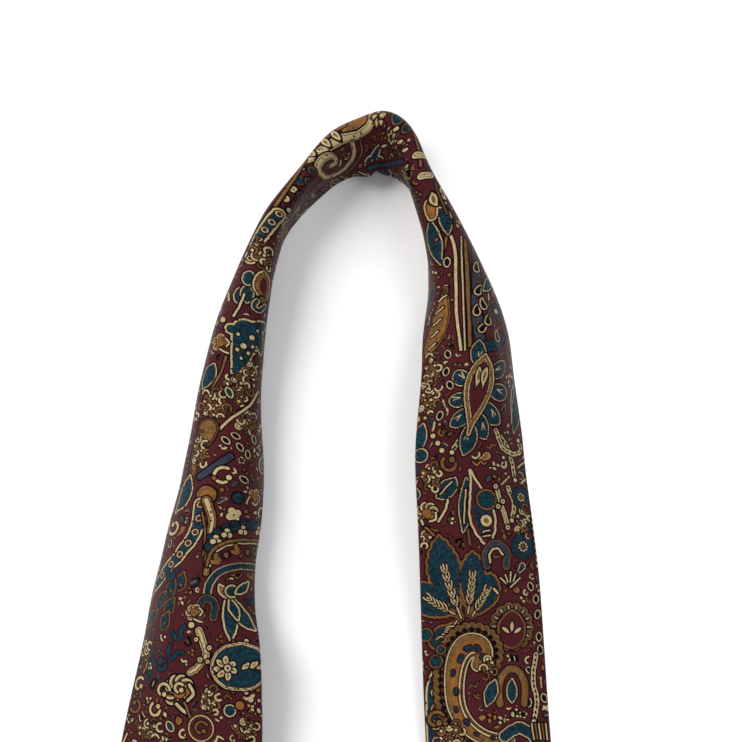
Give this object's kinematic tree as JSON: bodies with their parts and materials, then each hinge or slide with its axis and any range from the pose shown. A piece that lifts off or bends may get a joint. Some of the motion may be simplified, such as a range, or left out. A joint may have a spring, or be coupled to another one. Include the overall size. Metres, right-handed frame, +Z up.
{
  "type": "necktie",
  "caption": "Printed silk necktie lying face up, its neck folded lengthwise and standing in an arch between a wide pointed front blade and a narrow pointed tail.",
  "frame": {"origin": "on the table (z = 0) at the middle of the laid-out tie's bounding box", "axes": "+Z up from the table, -Y from the arch towards both blades' points, +X towards the tail side"},
  "size_m": [0.238, 0.779, 0.02],
  "materials": {
    "printed_silk": "fine twill silk, deep burgundy ground printed with a large teal, cream and gold paisley, soft satin sheen",
    "wool_interlining": "brushed off-white wool interlining, matt",
    "tipping_lining": "smooth dark lining satin",
    "sewing_thread": "twisted burgundy silk thread",
    "label_ribbon": "plain woven satin ribbon with nothing on it",
    "care_tag_tape": "plain off-white woven tape with nothing on it"
  },
  "bodies": {
    "neck": {"neck_gusset_front_half": "printed_silk", "front_panel_top": "printed_silk", "neck_interlining_front_half": "wool_interlining", "neck_seam_thread_front": "sewing_thread", "slip_stitch_neck_front": "sewing_thread"},
    "neck_tail_half": {"neck_gusset_tail_half": "printed_silk", "tail_panel_top": "printed_silk", "neck_interlining_tail_half": "wool_interlining", "neck_seam_thread_tail": "sewing_thread", "slip_stitch_neck_tail": "sewing_thread"},
    "front_upper": {"front_blade_upper": "printed_silk", "interlining_front_upper": "wool_interlining", "slip_stitch_front_upper": "sewing_thread", "keeper_loop": "printed_silk", "keeper_tack_inner": "sewing_thread", "keeper_tack_outer": "sewing_thread", "blank_label": "label_ribbon", "label_stitch_inner": "sewing_thread", "label_stitch_outer": "sewing_thread"},
    "care_tag": {"care_tag": "care_tag_tape"},
    "front_lower": {"front_blade_lower": "printed_silk", "interlining_front_lower": "wool_interlining", "slip_stitch_front_lower": "sewing_thread", "front_tipping_upper": "tipping_lining", "front_bar_tack": "sewing_thread", "spare_thread_loop": "sewing_thread"},
    "front_tip": {"front_blade_tip": "printed_silk", "interlining_front_tip": "wool_interlining", "front_tipping_point": "tipping_lining"},
    "tail_upper": {"tail_blade_upper": "printed_silk", "interlining_tail_upper": "wool_interlining", "slip_stitch_tail_upper": "sewing_thread"},
    "tail_tip": {"tail_blade_tip": "printed_silk", "interlining_tail_tip": "wool_interlining", "slip_stitch_tail_tip": "sewing_thread", "tail_tipping": "tipping_lining", "tail_bar_tack": "sewing_thread"}
  },
  "joints": [
    {"name": "neck_spread", "type": "hinge", "parent": "neck", "child": "neck_tail_half", "pos_m": [0.04094, 0.39049, 0], "axis": [0, 0, 1], "range_deg": [-3, 30]},
    {"name": "front_fold", "type": "hinge", "parent": "neck", "child": "front_upper", "pos_m": [-0.02884, 0.08344, 0.0049], "axis": [-0.9945, 0.1045, 0], "range_deg": [0, 160]},
    {"name": "front_lower_fold", "type": "hinge", "parent": "front_upper", "child": "front_lower", "pos_m": [-0.05863, -0.2, 0.0049], "axis": [-0.9945, 0.1045, 0], "range_deg": [0, 168]},
    {"name": "front_tip_fold", "type": "hinge", "parent": "front_lower", "child": "front_tip", "pos_m": [-0.07222, -0.32928, 0.0049], "axis": [-0.9945, 0.1045, 0], "range_deg": [0, 174]},
    {"name": "tail_fold", "type": "hinge", "parent": "neck_tail_half", "child": "tail_upper", "pos_m": [0.07754, 0.09317, 0.0049], "axis": [-0.9981, -0.061, 0], "range_deg": [0, 165]},
    {"name": "tail_tip_fold", "type": "hinge", "parent": "tail_upper", "child": "tail_tip", "pos_m": [0.09341, -0.16634, 0.0049], "axis": [-0.9981, -0.061, 0], "range_deg": [0, 170]},
    {"name": "care_tag_flap", "type": "hinge", "parent": "front_upper", "child": "care_tag", "pos_m": [-0.04651, -0.08463, 0.00062], "axis": [-0.9945, 0.1045, 0], "range_deg": [0, 100]}
  ]
}
